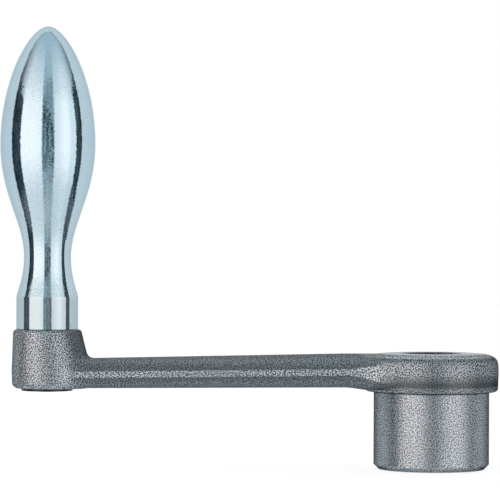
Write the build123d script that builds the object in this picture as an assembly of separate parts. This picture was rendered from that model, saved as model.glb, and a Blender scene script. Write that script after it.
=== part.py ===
from build123d import *
import math
import os

# Straight cast-iron crank handle with a fixed, turned steel machine handle.
# Millimetres. Z runs up the bore axis, z = 0 is the lower face of the hub, and the arm runs along -X.

# Casting: overall
crank_radius = 80.0          # bore axis to handle axis
total_height = 24.0          # lower face of the hub to the machined top face
parting_depth = 4.0          # moulding parting plane, below the top face
draft_angle = 2.0            # of the cast walls, away from the parting plane

# Casting: eye and hub
bore_diameter = 12.0         # sliding fit on a 12 mm shaft
bore_chamfer = 0.2
hub_diameter = 24.0          # turned length below the eye
hub_chamfer = 1.0
eye_diameter = 27.9          # at the parting plane
eye_height = 7.9             # top face to the shoulder above the hub
eye_lower_edge = 0.7
top_face_diameter = 17.0     # machined ring round the bore
crown_depth = 3.0            # from the top face to the upright wall of the eye

# Casting: arm, with heights counted from the parting plane
arm_width_at_eye = 18.2      # where the arm begins to spread into the eye
arm_width_at_boss = 12.0
arm_rise_at_eye = 3.86
arm_rise_at_boss = 2.5
arm_drop_at_eye = 3.15
arm_drop_at_boss = 3.58
arm_land_at_eye = 1.15       # upright land along the parting plane
arm_land_at_boss = 2.2

# Casting: spread of the arm into the eye
spread_start = 18.5          # distance from the bore axis
spread_width = 24.4          # inside the eye
spread_land = 4.2
spread_margin = 0.05         # underside of the spread, above the underside of the eye

# Casting: boss for the handle, with heights counted from the parting plane
boss_top_diameter = 14.1
boss_rise = 8.65
boss_drop = 3.6
boss_flank_angle = 14.0      # slope of the flank that faces the arm
boss_top_edge = 0.75
boss_bottom_edge = 1.3

# Casting: fillet where the arm runs into the boss
boss_blend = 1.6

# Handle, with heights counted from its seat on the boss
handle_length = 63.05
belly_diameter = 19.8
belly_height = 38.5
neck_diameter = 9.78
neck_height = 15.0
collar_diameter = 12.9
collar_height = 6.8
flare_angle = 16.4           # of the flare above the collar, from the axis

# Riveted fastening of the handle
shank_diameter = 8.0
shank_clearance = 0.02       # between shank and boss, all round
countersink_diameter = 9.6
rivet_diameter = 10.7        # spread end under the boss
rivet_thickness = 0.45
rivet_dome = 0.35
rivet_dome_diameter = 7.0
spot_face_diameter = 12.0    # machined seat of the spread end

# Fullness of a rounded quarter: 0.55 is a quarter of an ellipse, 1.0 a square corner
CROWN_FULLNESS = 0.8
ARM_FULLNESS_AT_EYE = 0.63
ARM_FULLNESS_AT_BOSS = 0.7
SPREAD_FULLNESS = 0.75

# Stations of the spread, as shares of its length from the arm to the bore
SPREAD_STATIONS = (0.0, 0.28, 0.52, 0.76, 1.0)
UNDERSIDE_SHARE = 0.6        # of that length in which the underside comes down to the eye's

# Pull of the two ends of each handle curve, as a share of its height, or of its radius at the tip
FLARE_PULL, LOWER_NECK_PULL = 0.38, 0.39
UPPER_NECK_PULL, LOWER_BELLY_PULL = 0.31, 0.45
UPPER_BELLY_PULL, TIP_PULL = 0.56, 0.38

DRAFT = math.tan(math.radians(draft_angle))
ON_FLOOR = (Align.CENTER, Align.CENTER, Align.MIN)
FROM_CEILING = (Align.CENTER, Align.CENTER, Align.MAX)

parting_height = total_height - parting_depth
hub_length = total_height - eye_height
boss_top = parting_height + boss_rise
boss_bottom = parting_height - boss_drop


def rounded_quarter(start, end, fullness):
    """Curve that leaves start level and reaches end upright."""
    level = (start[0] + fullness * (end[0] - start[0]), start[1])
    upright = (end[0], end[1] - fullness * (end[1] - start[1]))
    return Bezier(start, level, upright, end)


def make_eye():
    """Cast eye and turned hub, revolved about the bore axis, with the bore still closed."""
    hub_radius = hub_diameter / 2
    eye_radius = eye_diameter / 2
    crown_foot = total_height - crown_depth
    edge_top = hub_length + eye_lower_edge
    upper_radius = eye_radius - DRAFT * (crown_foot - parting_height)
    lower_radius = eye_radius - DRAFT * (parting_height - edge_top)
    edge_start = (lower_radius - eye_lower_edge, hub_length)
    edge_end = (lower_radius, edge_top)
    crown_start = (top_face_diameter / 2, total_height)
    crown_end = (upper_radius, crown_foot)
    with BuildPart() as eye:
        with BuildSketch(Plane.XZ):
            with BuildLine():
                Polyline(
                    crown_start,
                    (0, total_height),
                    (0, 0),
                    (hub_radius - hub_chamfer, 0),
                    (hub_radius, hub_chamfer),
                    (hub_radius, hub_length),
                    edge_start,
                )
                RadiusArc(edge_start, edge_end, -eye_lower_edge)
                Polyline(edge_end, (eye_radius, parting_height), crown_end)
                rounded_quarter(crown_start, crown_end, CROWN_FULLNESS)
            make_face()
        revolve(axis=Axis.Z)
    return eye.part


def arm_section(x, width, rise, drop, land, fullness):
    """Closed section of the arm at x: a rounded half above and below an upright land."""
    half = width / 2
    upper = parting_height + land / 2
    lower = parting_height - land / 2
    top = (0, parting_height + rise)
    bottom = (0, parting_height - drop)
    with BuildSketch(Plane.YZ.offset(x)) as section:
        with BuildLine():
            for side in (half, -half):
                rounded_quarter(top, (side, upper), fullness)
                Line((side, upper), (side, lower))
                rounded_quarter(bottom, (side, lower), fullness)
        make_face()
    return section.sketch


def between(start, end, share):
    """Value at a share of the way from start to end."""
    return start + share * (end - start)


def eased(share):
    """Share that leaves 0 and reaches 1 gently."""
    share = min(share, 1.0)
    return share * share * (3 - 2 * share)


def make_spread():
    """End of the arm, which widens and deepens smoothly until it is inside the eye."""
    deepest = parting_height - hub_length - spread_margin
    sections = []
    for share in SPREAD_STATIONS:
        widening = 0.1 * share + 0.9 * share * share
        section = arm_section(
            -between(spread_start, bore_diameter / 2, share),
            between(arm_width_at_eye, spread_width, widening),
            arm_rise_at_eye,
            between(arm_drop_at_eye, deepest, eased(share / UNDERSIDE_SHARE)),
            between(arm_land_at_eye, spread_land, eased(share)),
            between(ARM_FULLNESS_AT_EYE, SPREAD_FULLNESS, share),
        )
        sections.append(section)
    return loft(sections)


def make_arm():
    """Tapered arm from inside the eye to the axis of the boss."""
    at_eye = arm_section(
        -spread_start,
        arm_width_at_eye,
        arm_rise_at_eye,
        arm_drop_at_eye,
        arm_land_at_eye,
        ARM_FULLNESS_AT_EYE,
    )
    at_boss = arm_section(
        -crank_radius,
        arm_width_at_boss,
        arm_rise_at_boss,
        arm_drop_at_boss,
        arm_land_at_boss,
        ARM_FULLNESS_AT_BOSS,
    )
    return loft([at_eye, at_boss], ruled=True) + make_spread()


def boss_outline(height, reach, far):
    """Level oval of the boss: reach is its extent toward the arm, far its extent the other way."""
    middle = -crank_radius + (reach - far) / 2
    return Plane(origin=(middle, 0, height), x_dir=(-1, 0, 0)) * Ellipse((reach + far) / 2, far)


def make_boss():
    """Boss for the handle: round at the top, with a sloping flank toward the arm."""
    radius = boss_top_diameter / 2
    far = radius + DRAFT * boss_rise
    reach = radius + math.tan(math.radians(boss_flank_angle)) * boss_rise
    taper = DRAFT * boss_drop
    top = boss_outline(boss_top, radius, radius)
    middle = boss_outline(parting_height, reach, far)
    bottom = boss_outline(boss_bottom, reach - taper, far - taper)
    boss = loft([top, middle], ruled=True) + loft([middle, bottom], ruled=True)
    boss = fillet(boss.edges().group_by(Axis.Z)[-1], boss_top_edge)
    return fillet(boss.edges().group_by(Axis.Z)[0], boss_bottom_edge)


def lies_on(solid, point):
    """True where the point is on the surface of the solid."""
    return min(face.distance_to(Vertex(*point)) for face in solid.faces()) < 0.001


def joined(first, second, blend, above):
    """Union of two solids, with a fillet along the edges where they cross above a height."""
    union = first + second
    crossing = [
        edge
        for edge in union.edges()
        if (edge @ 0.5).Z > above
        and all(lies_on(solid, edge @ t) for solid in (first, second) for t in (0.25, 0.75))
    ]
    return fillet(crossing, blend)


def make_bore():
    """Cutter for the bore, with a chamfer at both ends."""
    radius = bore_diameter / 2
    wide = radius + bore_chamfer
    bore = Cylinder(radius, total_height, align=ON_FLOOR)
    low = Cone(wide, radius, bore_chamfer, align=ON_FLOOR)
    high = Pos(0, 0, total_height) * Cone(radius, wide, bore_chamfer, align=FROM_CEILING)
    return bore + low + high


def shank_profile(clearance):
    """Half profile of the shank and its countersink, from the seat down to the spot face."""
    shank = shank_diameter / 2 + clearance
    sink = countersink_diameter / 2 + clearance
    return [(shank, boss_top), (shank, boss_bottom + sink - shank), (sink, boss_bottom)]


def make_rivet_hole():
    """Cutter for the boss: the countersunk hole of the shank and the spot face below it."""
    with BuildPart() as hole:
        with BuildSketch(Plane.XZ):
            with BuildLine():
                outline = shank_profile(shank_clearance)
                Polyline((0, boss_top), *outline, (0, boss_bottom), close=True)
            make_face()
        revolve(axis=Axis.Z)
    spot_face = Cylinder(spot_face_diameter / 2, rivet_thickness, align=FROM_CEILING)
    return Pos(-crank_radius, 0, 0) * (hole.part + Pos(0, 0, boss_bottom) * spot_face)


def make_crank_arm():
    """The whole casting, with its turned hub, bore and rivet hole."""
    body = make_eye() + make_arm()
    body = joined(body, make_boss(), boss_blend, above=boss_bottom + boss_bottom_edge)
    return body - make_bore() - make_rivet_hole()


def make_handle():
    """One-piece turned handle, with its shank and the spread end that rivets it to the boss."""
    collar = collar_diameter / 2
    neck = neck_diameter / 2
    belly = belly_diameter / 2
    rivet = rivet_diameter / 2
    collar_top = boss_top + collar_height
    neck_level = boss_top + neck_height
    belly_level = boss_top + belly_height
    tip = boss_top + handle_length
    dome = rivet_dome_diameter / 2
    rivet_bottom = boss_bottom - rivet_thickness
    dome_radius = (dome**2 + rivet_dome**2) / (2 * rivet_dome)
    flare = math.radians(flare_angle)
    waist = neck_level - collar_top
    swell = belly_level - neck_level
    crown = tip - belly_level
    with BuildPart() as handle:
        with BuildSketch(Plane.XZ):
            with BuildLine():
                Bezier(
                    (0, tip),
                    (TIP_PULL * belly, tip),
                    (belly, belly_level + UPPER_BELLY_PULL * crown),
                    (belly, belly_level),
                )
                Bezier(
                    (belly, belly_level),
                    (belly, belly_level - LOWER_BELLY_PULL * swell),
                    (neck, neck_level + UPPER_NECK_PULL * swell),
                    (neck, neck_level),
                )
                Bezier(
                    (neck, neck_level),
                    (neck, neck_level - LOWER_NECK_PULL * waist),
                    (
                        collar - FLARE_PULL * waist * math.sin(flare),
                        collar_top + FLARE_PULL * waist * math.cos(flare),
                    ),
                    (collar, collar_top),
                )
                Polyline(
                    (collar, collar_top),
                    (collar, boss_top),
                    *shank_profile(0),
                    (rivet, boss_bottom),
                    (rivet, rivet_bottom),
                    (dome, rivet_bottom),
                )
                RadiusArc((dome, rivet_bottom), (0, rivet_bottom - rivet_dome), dome_radius)
                Line((0, rivet_bottom - rivet_dome), (0, tip))
            make_face()
        revolve(axis=Axis.Z)
    return Pos(-crank_radius, 0, 0) * handle.part


os.makedirs("parts", exist_ok=True)
export_step(make_crank_arm(), "parts/crank_arm.step")
export_step(make_handle(), "parts/handle.step")
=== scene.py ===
"""Looks, studio and camera for the crank handle: a cast-iron arm and a fixed turned handle."""
import math

import bpy
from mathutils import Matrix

MM = 0.001

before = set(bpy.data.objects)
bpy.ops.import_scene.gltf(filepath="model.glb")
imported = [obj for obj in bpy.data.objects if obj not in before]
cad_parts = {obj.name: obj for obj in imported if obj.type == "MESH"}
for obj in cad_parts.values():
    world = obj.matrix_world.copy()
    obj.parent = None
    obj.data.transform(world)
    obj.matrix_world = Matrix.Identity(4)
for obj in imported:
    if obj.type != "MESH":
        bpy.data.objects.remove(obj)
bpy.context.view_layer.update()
scene = bpy.context.scene
scene.view_settings.view_transform = "Standard"
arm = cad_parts["crank_arm"]
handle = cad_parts["handle"]


# ---------------------------------------------------------------- node helpers
def add(tree, kind, sockets=None, **settings):
    """Adds a node, sets its fields, and links or sets each of its named inputs."""
    node = tree.nodes.new("ShaderNode" + kind)
    for field, value in settings.items():
        setattr(node, field, value)
    for name, value in (sockets or {}).items():
        if isinstance(value, bpy.types.NodeSocket):
            tree.links.new(value, node.inputs[name])
        else:
            node.inputs[name].default_value = value
    return node


def math_of(tree, operation, *values, clamp=False):
    """A Math node on one to three values, which are sockets or numbers."""
    sockets = dict(enumerate(values))
    return add(tree, "Math", sockets, operation=operation, use_clamp=clamp).outputs[0]


def times(tree, first, second):
    """The product of two values."""
    return math_of(tree, "MULTIPLY", first, second)


def minus(tree, first, second):
    """The first value less the second."""
    return math_of(tree, "SUBTRACT", first, second)


def larger(tree, first, second):
    """The larger of two values."""
    return math_of(tree, "MAXIMUM", first, second)


def linear(tree, value, slope, offset):
    """The slope times the value, plus the offset."""
    return math_of(tree, "MULTIPLY_ADD", value, slope, offset)


def span(tree, value, low, high, to_low=0.0, to_high=1.0):
    """Smooth change from to_low to to_high while value goes from low to high."""
    sockets = {"Value": value, 1: low, 2: high, 3: to_low, 4: to_high}
    return add(tree, "MapRange", sockets, interpolation_type="SMOOTHSTEP").outputs[0]


def above(tree, length, low, high):
    """0 where the length is under low and 1 where it is over high, both in millimetres."""
    return span(tree, length, low * MM, high * MM)


def below(tree, length, low, high):
    """1 where the length is under low and 0 where it is over high, both in millimetres."""
    return span(tree, length, low * MM, high * MM, 1.0, 0.0)


def ramp(tree, value, stops):
    """A Color Ramp with stops of (place, grey or colour)."""
    node = add(tree, "ValToRGB", {"Fac": value})
    elements = node.color_ramp.elements
    while len(elements) > 1:
        elements.remove(elements[-1])
    for n, (place, colour) in enumerate(stops):
        element = elements[0] if n == 0 else elements.new(place)
        element.position = place
        rgb = colour if isinstance(colour, tuple) else (colour, colour, colour)
        element.color = (*rgb, 1.0)
    return node.outputs["Color"]


def angle_ramp(tree, share, whole, stops):
    """A Color Ramp over a share of the whole angle, 0.5 at zero degrees, with stops in degrees."""
    return ramp(tree, share, [(degrees / whole + 0.5, colour) for degrees, colour in stops])


def height_ramp(tree, z, top, stops):
    """A Color Ramp over the height, from 0 to top, with stops in millimetres."""
    share = times(tree, z, 1 / (top * MM))
    return ramp(tree, share, [(height / top, grey) for height, grey in stops])


def mixed(tree, factor, first, second):
    """Colour mix of two colours, which are sockets or RGB tuples."""
    node = add(tree, "Mix", data_type="RGBA")
    for place, value in ((0, factor), (6, first), (7, second)):
        socket = node.inputs[place]
        if isinstance(value, bpy.types.NodeSocket):
            tree.links.new(value, socket)
        else:
            socket.default_value = (*value, 1.0) if isinstance(value, tuple) else value
    return node.outputs[2]


def blended(tree, factor, first, second):
    """Mix of two values, which are sockets or numbers."""
    return add(tree, "Mix", {0: factor, 2: first, 3: second}, data_type="FLOAT").outputs[0]


def vector_of(tree, operation, *vectors):
    """A Vector Math node on one or two vectors, which are sockets or tuples."""
    return add(tree, "VectorMath", dict(enumerate(vectors)), operation=operation).outputs[0]


def scaled(tree, colour, factor):
    """The colour or vector times a number."""
    return add(tree, "VectorMath", {0: colour, "Scale": factor}, operation="SCALE").outputs[0]


def separated(tree, vector):
    """The three components of a vector."""
    return add(tree, "SeparateXYZ", {0: vector}).outputs


def noise(tree, vector, per_axis, detail=2.0, roughness=0.5):
    """Noise texture's value and colour, about 0.5, at its own scale along each axis."""
    sockets = {
        "Vector": vector_of(tree, "MULTIPLY", vector, per_axis),
        "Scale": 1.0,
        "Detail": detail,
        "Roughness": roughness,
    }
    return add(tree, "TexNoise", sockets, noise_dimensions="3D").outputs


def flat_grain(tree, across, upwards, scale):
    """A fine flat noise over two lengths, turned askew: its value and its colour, about 0.5."""
    laid = add(tree, "CombineXYZ", {0: across, 1: upwards}).outputs[0]
    sockets = {"Vector": laid, "Angle": 0.6}
    askew = add(tree, "VectorRotate", sockets, rotation_type="Z_AXIS").outputs[0]
    sockets = {"Vector": askew, "Scale": scale, "Detail": 0.0}
    return add(tree, "TexNoise", sockets, noise_dimensions="2D").outputs


def tipped(tree, colour, amount):
    """The surface normal, tipped at random by a colour about 0.5, so much along each axis."""
    tip = vector_of(tree, "SUBTRACT", colour, (0.5, 0.5, 0.5))
    tip = vector_of(tree, "MULTIPLY", tip, amount)
    normal = add(tree, "NewGeometry").outputs["Normal"]
    return vector_of(tree, "NORMALIZE", vector_of(tree, "ADD", normal, tip))


# ---------------------------------------------------------------------- studio
# Radiance is halved in these colours, and the Background node doubles it.
WHITE = (0.5, 0.5, 0.5)
OVERHEAD_LOW, OVERHEAD_HIGH = (0.405, 0.435, 0.452), (0.33, 0.385, 0.41)
BACKDROP_EDGE = (0.03, 0.042, 0.049)
BACKDROP_Y = 0.0675          # y of the direction at which the backdrop begins
BACKDROP_TO_RIGHT = 0.0175   # so much farther back toward +x
BACKDROP_UPWARD = 0.09       # and upward

# By azimuth in degrees, where 0 is toward the camera and the right is positive
GAP_EDGE = (0.115, 0.148, 0.158)
FRONT = [
    (-28, (0.91, 0.807, 0.753)), (-12, (0.82, 0.75, 0.71)),     # left softbox
    (-9, GAP_EDGE), (6, (0.10, 0.128, 0.136)), (19, GAP_EDGE),  # gap between the softboxes
    (21, (0.63, 0.62, 0.61)), (36, (0.79, 0.73, 0.695)),        # right softbox
    (48, (0.90, 0.807, 0.757)), (57, (0.85, 0.78, 0.75)), (65, (0.66, 0.65, 0.64)),
]
IN_GAP = [(-9.5, 0.0), (-8.5, 1.0), (19, 1.0), (20, 0.0)]
SEAM = [
    (-94, (0.019, 0.027, 0.032)), (-66, (0.034, 0.047, 0.055)),
    (77, (0.04, 0.055, 0.062)), (96, (0.026, 0.036, 0.041)),
]

# By height in degrees above the horizon
LIT_BOX = [
    (-64, 0.0), (-40, 0.27), (-30, 0.39), (-20, 0.66), (-8, 1.0), (14, 1.0),
    (22, 0.90), (30, 0.58), (40, 0.40), (50, 0.22), (70, 0.0),
]
LIT_GAP = [
    (-64, 0.0), (-40, 0.22), (-20, 0.70), (-8, 1.0), (14, 1.0),
    (20, 0.94), (30, 0.57), (40, 0.19), (50, 0.03), (60, 0.0),
]
SEAM_STRENGTH = [
    (-55, 0.0), (-30, 0.86), (-22, 1.0), (22, 1.0), (30, 0.88),
    (40, 0.70), (50, 0.42), (60, 0.20), (72, 0.05),
]


def seam_share(tree, azimuth, height):
    """Share of the dark seams, whose inner edges are sharp below and soft above."""
    left = span(tree, height, 18.0, 26.0, -64.7, -60.0)
    left_width = span(tree, height, 18.0, 28.0, 1.3, 30.0)
    right = span(tree, height, 18.0, 26.0, 76.4, 71.0)
    right_width = span(tree, height, 18.0, 34.0, 1.3, 24.0)
    past_left = math_of(tree, "DIVIDE", minus(tree, left, azimuth), left_width)
    past_right = math_of(tree, "DIVIDE", minus(tree, azimuth, right), right_width)
    return math_of(tree, "MAXIMUM", past_left, past_right, clamp=True)


def make_world():
    """Two tall softboxes in front with a gap between them, dark seams, and a white backdrop."""
    world = bpy.data.worlds.new("studio")
    scene.world = world
    world.use_nodes = True
    tree = world.node_tree
    tree.nodes.clear()
    direction = add(tree, "TexCoord").outputs["Generated"]
    x, y, z = separated(tree, direction)
    around = math_of(tree, "ARCTAN2", x, times(tree, y, -1.0))
    turn = linear(tree, around, 0.5 / math.pi, 0.5)
    height = math_of(tree, "DEGREES", math_of(tree, "ARCSINE", z))
    rise = linear(tree, height, 1 / 180, 0.5)
    # what stands in the gap and the seams is fine and level, and sparkles on uneven plating
    clutter = noise(tree, direction, (8, 8, 30), 1.0)[0]
    front = angle_ramp(tree, turn, 360, FRONT)
    in_gap = angle_ramp(tree, turn, 360, IN_GAP)
    cluttered = scaled(tree, front, span(tree, clutter, 0.42, 0.58, 0.0, 2.1))
    front = mixed(tree, in_gap, front, cluttered)
    lit_box = angle_ramp(tree, rise, 180, LIT_BOX)
    lit_gap = angle_ramp(tree, rise, 180, LIT_GAP)
    overhead = mixed(tree, span(tree, height, -25.0, 50.0), OVERHEAD_LOW, OVERHEAD_HIGH)
    studio = mixed(tree, mixed(tree, in_gap, lit_box, lit_gap), overhead, front)
    # a dark seam stands on the outer side of each softbox
    seam = angle_ramp(tree, turn, 360, SEAM)
    seam = scaled(tree, seam, span(tree, clutter, 0.42, 0.58, 0.4, 1.6))
    in_seam = seam_share(tree, math_of(tree, "DEGREES", around), height)
    strength = angle_ramp(tree, rise, 180, SEAM_STRENGTH)
    studio = mixed(tree, times(tree, in_seam, strength), studio, seam)
    # the edge of the backdrop is a nearly upright circle just behind the object, dark at its foot
    upward = times(tree, larger(tree, z, 0.0), BACKDROP_UPWARD)
    lean = linear(tree, x, BACKDROP_TO_RIGHT, upward)
    behind = minus(tree, minus(tree, y, BACKDROP_Y), lean)
    edge = times(tree, span(tree, behind, -0.12, -0.01), span(tree, z, 0.7, 0.95, 0.0, 0.3))
    studio = mixed(tree, edge, studio, BACKDROP_EDGE)
    studio = mixed(tree, span(tree, behind, -0.012, 0.018), studio, WHITE)
    path = add(tree, "LightPath").outputs
    seen = mixed(tree, path["Is Camera Ray"], studio, WHITE)
    background = add(tree, "Background", {"Color": seen, "Strength": 2.0}).outputs[0]
    tree.links.new(background, add(tree, "OutputWorld").inputs[0])


def new_material(name):
    """An empty node material and its tree."""
    material = bpy.data.materials.new(name)
    material.use_nodes = True
    material.node_tree.nodes.clear()
    return material, material.node_tree


def make_floor():
    """Pale floor under the hub. It is white to the camera and keeps the object's shadow."""
    half = 1.6
    gap = 0.2 * MM
    mesh = bpy.data.meshes.new("floor")
    corners = [(-half, -half, 0), (half, -half, 0), (half, half, 0), (-half, half, 0)]
    mesh.from_pydata(corners, [], [(0, 1, 2, 3)])
    floor = bpy.data.objects.new("floor", mesh)
    scene.collection.objects.link(floor)
    floor.location.z = -gap
    floor.visible_glossy = False
    material, tree = new_material("pale_floor")
    path = add(tree, "LightPath").outputs
    lit = add(tree, "BsdfDiffuse", {"Color": (0.8, 0.8, 0.8, 1)}).outputs[0]
    glow = add(tree, "Emission", {"Color": (1, 1, 1, 1), "Strength": 0.88}).outputs[0]
    faint = add(tree, "BsdfDiffuse", {"Color": (0.17, 0.17, 0.17, 1)}).outputs[0]
    pale = add(tree, "AddShader", {0: faint, 1: glow}).outputs[0]
    seen = add(tree, "MixShader", {0: path["Is Camera Ray"], 1: lit, 2: pale}).outputs[0]
    # from below the floor is clear, so that it never hides the object
    from_below = add(tree, "NewGeometry").outputs["Backfacing"]
    clear = add(tree, "BsdfTransparent").outputs[0]
    either = add(tree, "MixShader", {0: from_below, 1: seen, 2: clear}).outputs[0]
    tree.links.new(either, add(tree, "OutputMaterial").inputs[0])
    mesh.materials.append(material)


def make_camera():
    """Level view along +Y, at the photograph's distance and with its slight roll."""
    data = bpy.data.cameras.new("camera")
    data.sensor_width = 36.0
    data.lens = 194.44
    camera = bpy.data.objects.new("camera", data)
    scene.collection.objects.link(camera)
    camera.location = (-37.86 * MM, -562.0 * MM, 45.33 * MM)
    camera.rotation_euler = (math.radians(90), math.radians(-0.23), 0)
    scene.camera = camera


# ------------------------------------------------------------------- materials
GRAIN = 4600.0               # grains to the metre, on the plating and on the cast skin
ARM_COARSER = 600.0          # so many fewer on the arm
AWAY_COARSER = 1200.0        # so many fewer on faces turned away from the photo's side,
AWAY_FROM = -0.15            # where the y of their normal is over this

# Zinc plating
HANDLE_X = -80.0             # axis of the handle, mm
NECK_RADIUS = 7.5            # mean radius on which its grain is wrapped, mm
FILM_BELOW, FILM_ON_BELLY = (0.452, 0.577, 0.64), (0.45, 0.583, 0.668)
COLLAR_FILM = (0.43, 0.525, 0.575)
# near black of the painted shadow in the gaps under and on the boss
PAINTED_SHADOW_DARK = (0.03, 0.033, 0.036)
ZINC_EDGE = (0.66, 0.74, 0.76, 1)
SPECKS = [(48, 0.55), (55, 0.40), (62, 0.18), (76, 0.18), (85, 0.35)]    # by height, mm

# Cast iron, where a skin's brightness, painted light and shade included, is a share of IRON
IRON = (0.287, 0.323, 0.352)
BOSS_SKIN = 0.93
# painted highlight on the upright strip along the arm's middle
STRIP_PAINTED_HIGHLIGHT = 0.56            # so much brighter along the middle of the arm
TURNED_MEAN, TURNED_DEPTH = 1.13, 0.87
CAST_ROUGHNESS, TURNED_ROUGHNESS = 0.43, 0.36
CAST_EDGE, HUB_EDGE, RING_EDGE = (0.12, 0.12, 0.12), (0.0, 0.0, 0.0), (0.9, 0.9, 0.9)
# painted shade: the arm's sloping facets are darker than its upright strip, and lighter again
# where they lie level
ARM_FACET_PAINTED_SHADE = [(0.35, 0.47), (0.6, 0.52), (0.85, 0.68), (1.0, 0.9)]         # by how level it lies
# painted shade on the eye's lower wall and a painted highlight at its top, by height
EYE_PAINTED_LIGHT = [                                                             # by height, mm
    (16.4, 0.80), (16.7, 0.72), (17.1, 0.62), (17.5, 0.35), (18.1, 0.34), (18.7, 0.52),
    (19.3, 0.64), (20.0, 0.83), (22.2, 0.83), (23.1, 0.60), (23.4, 1.2),
]


def object_place(tree):
    """The object's own coordinates, as a vector and as three components."""
    place = add(tree, "TexCoord").outputs["Object"]
    return place, *separated(tree, place)


def finish_material(tree, colour, roughness, normal, edge, metallic=1.0):
    """Metal shader with the given colours, roughness and normal."""
    sockets = {
        "Base Color": colour,
        "Metallic": metallic,
        "Roughness": roughness,
        "Normal": normal,
        "Specular Tint": edge,
    }
    shader = add(tree, "BsdfPrincipled", sockets)
    tree.links.new(shader.outputs[0], add(tree, "OutputMaterial").inputs[0])


def make_zinc():
    """Blue passivated zinc on turned and polished steel: fine turning lines and a faint grain."""
    material, tree = new_material("zinc_plated_steel")
    place, x, y, z = object_place(tree)
    lines = noise(tree, place, (700, 700, 4800), 2.0, 0.6)[0]
    cloud = noise(tree, place, (90, 90, 260))[0]
    scratches = noise(tree, place, (1500, 1500, 4200), 1.0)[1]
    shade = times(tree, linear(tree, lines, 0.16, 0.93), linear(tree, cloud, 0.10, 0.96))
    # fine specks wrapped round the axis, strongest on the neck
    turn = math_of(tree, "ARCTAN2", y, math_of(tree, "ADD", x, -HANDLE_X * MM))
    specks = flat_grain(tree, times(tree, turn, NECK_RADIUS * MM), z, GRAIN)[0]
    specks = times(tree, minus(tree, specks, 0.5), height_ramp(tree, z, 100, SPECKS))
    shade = times(tree, shade, math_of(tree, "ADD", specks, 1.0))
    # the film is bluest on the belly, and duller on the collar
    colour = scaled(tree, mixed(tree, above(tree, z, 40, 66), FILM_BELOW, FILM_ON_BELLY), shade)
    collar = below(tree, z, 34.6, 36.0)
    colour = mixed(tree, collar, colour, COLLAR_FILM)
    # painted shadow: the rim of the end spread under the boss, and the collar's foot where it sits
    # on the boss, are painted near black as shade in these gaps
    rim = times(tree, above(tree, z, 15.93, 15.97), below(tree, z, 16.4, 16.45))
    foot = span(tree, z, 28.78 * MM, 28.88 * MM, 0.6, 0.0)
    painted_shadow = larger(tree, rim, times(tree, foot, above(tree, z, 20, 21)))
    colour = mixed(tree, painted_shadow, colour, PAINTED_SHADOW_DARK)
    roughness = span(tree, lines, 0.3, 0.75, 0.05, 0.09)
    normal = tipped(tree, scratches, (0.03, 0.03, 0.22))
    finish_material(tree, colour, roughness, normal, ZINC_EDGE, linear(tree, collar, -0.11, 1.0))
    return material


def skin_brightness_with_painted_light(tree, x, z, on_eye, on_boss, level):
    """Brightness of the blasted skin with painted light: a painted highlight on a strip along the
    arm's middle, painted shade on the arm's sloping facets, and painted shade and highlight by
    height on the eye.
    """
    # painted shade by how level the face lies, then a painted highlight on the upright strip
    facets_painted_light = ramp(tree, level, ARM_FACET_PAINTED_SHADE)
    off_middle = minus(tree, z, linear(tree, x, 0.0155, 20.62 * MM))
    widening = span(tree, x, -17.5 * MM, -9.5 * MM, 0.0, 1.6 * MM)
    off_strip = minus(tree, math_of(tree, "ABSOLUTE", off_middle), widening)
    strip = times(tree, below(tree, off_strip, 0.5, 0.85), span(tree, level, 0.2, 0.4, 1, 0))
    facets_painted_light = linear(tree, strip, STRIP_PAINTED_HIGHLIGHT, facets_painted_light)
    # on the eye, painted shade and highlight by height
    skin = blended(tree, on_eye, facets_painted_light, height_ramp(tree, z, 40, EYE_PAINTED_LIGHT))
    return blended(tree, on_boss, skin, BOSS_SKIN)


def skin_grain(tree, x, y, z, facing, scale):
    """Grain laid on the main plane that the skin faces, where a solid noise would look patchy."""
    endways, sideways, level = facing
    on_flat = math_of(tree, "GREATER_THAN", level, larger(tree, endways, sideways))
    on_end = math_of(tree, "GREATER_THAN", endways, larger(tree, level, sideways))
    return flat_grain(tree, blended(tree, on_end, x, y), blended(tree, on_flat, z, y), scale)


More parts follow.
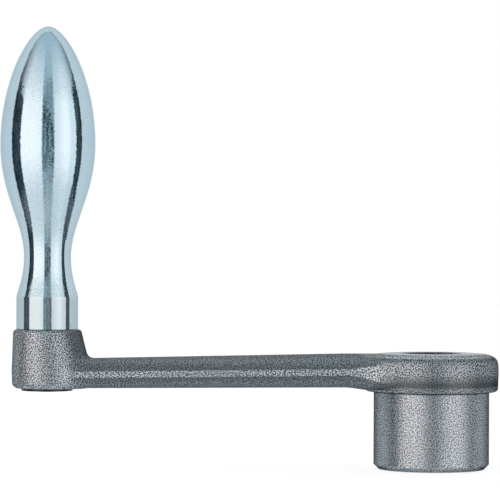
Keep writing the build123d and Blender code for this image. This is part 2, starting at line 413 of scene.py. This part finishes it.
def make_iron():
    """Shot-blasted grey cast iron, with a turned hub, bore and top ring."""
    material, tree = new_material("cast_iron")
    place, x, y, z = object_place(tree)
    normal = add(tree, "TexCoord").outputs["Normal"]
    facing = separated(tree, vector_of(tree, "ABSOLUTE", normal))
    # where each kind of surface lies, by its distance from the bore's axis and its height
    radius = math_of(tree, "SQRT", math_of(tree, "MULTIPLY_ADD", x, x, times(tree, y, y)))
    on_hub = times(tree, below(tree, radius, 12.04, 12.2), below(tree, z, 16.0, 16.4))
    on_ring = times(tree, below(tree, radius, 10.8, 11.0), above(tree, z, 23.28, 23.36))
    turned = larger(tree, on_hub, on_ring)
    in_bore = below(tree, radius, 6.15, 6.35)
    on_eye = below(tree, radius, 14.02, 16.0)
    on_boss = below(tree, linear(tree, z, 0.28, x), -71.2, -66.0)
    on_arm = math_of(tree, "LESS_THAN", larger(tree, on_eye, on_boss), 0.5)
    skin = skin_brightness_with_painted_light(tree, x, z, on_eye, on_boss, facing[2])
    away = math_of(tree, "GREATER_THAN", separated(tree, normal)[1], AWAY_FROM)
    scale = linear(tree, away, -AWAY_COARSER, linear(tree, on_arm, -ARM_COARSER, GRAIN))
    grain = skin_grain(tree, x, y, z, facing, scale)
    # the brighter the skin, the stronger its grain
    depth = linear(tree, skin, 1.5, -0.1)
    spread = span(tree, grain[0], 0.40, 0.60, -1.0, 1.0)
    rough_shade = larger(tree, math_of(tree, "MULTIPLY_ADD", spread, depth, 1.0), 0.04)
    turned_shade = linear(tree, spread, TURNED_DEPTH, TURNED_MEAN)
    shade = blended(tree, turned, times(tree, rough_shade, skin), turned_shade)
    cloud = noise(tree, place, (330, 330, 330), 1.0)[0]
    shade = times(tree, shade, linear(tree, cloud, 0.24, 0.88))
    # painted shade inside the bore, 60 % darker than the rest
    shade = times(tree, shade, linear(tree, in_bore, -0.6, 1.0))
    # painted shade: a dark corner between hub and eye, and a darker chamfer at the hub's end,
    # which faces down
    corner = times(tree, above(tree, z, 15.8, 15.95), below(tree, z, 16.15, 16.3))
    shade = times(tree, shade, linear(tree, corner, -0.7, 1.0))
    chamfer_painted_shade = times(tree, on_hub, span(tree, z, 0.5 * MM, 0.9 * MM, 0.3, 0.0))
    shade = times(tree, shade, minus(tree, 1.0, chamfer_painted_shade))
    roughness = blended(tree, turned, CAST_ROUGHNESS, TURNED_ROUGHNESS)
    edge = mixed(tree, on_ring, mixed(tree, on_hub, CAST_EDGE, HUB_EDGE), RING_EDGE)
    tip = tipped(tree, grain[1], (0.4, 0.4, 0.4))
    finish_material(tree, scaled(tree, IRON, shade), roughness, tip, edge)
    return material


def dress(node, material):
    """Gives a CAD node its material."""
    node.data.materials.clear()
    node.data.materials.append(material)


make_world()
make_floor()
make_camera()
dress(handle, make_zinc())
dress(arm, make_iron())
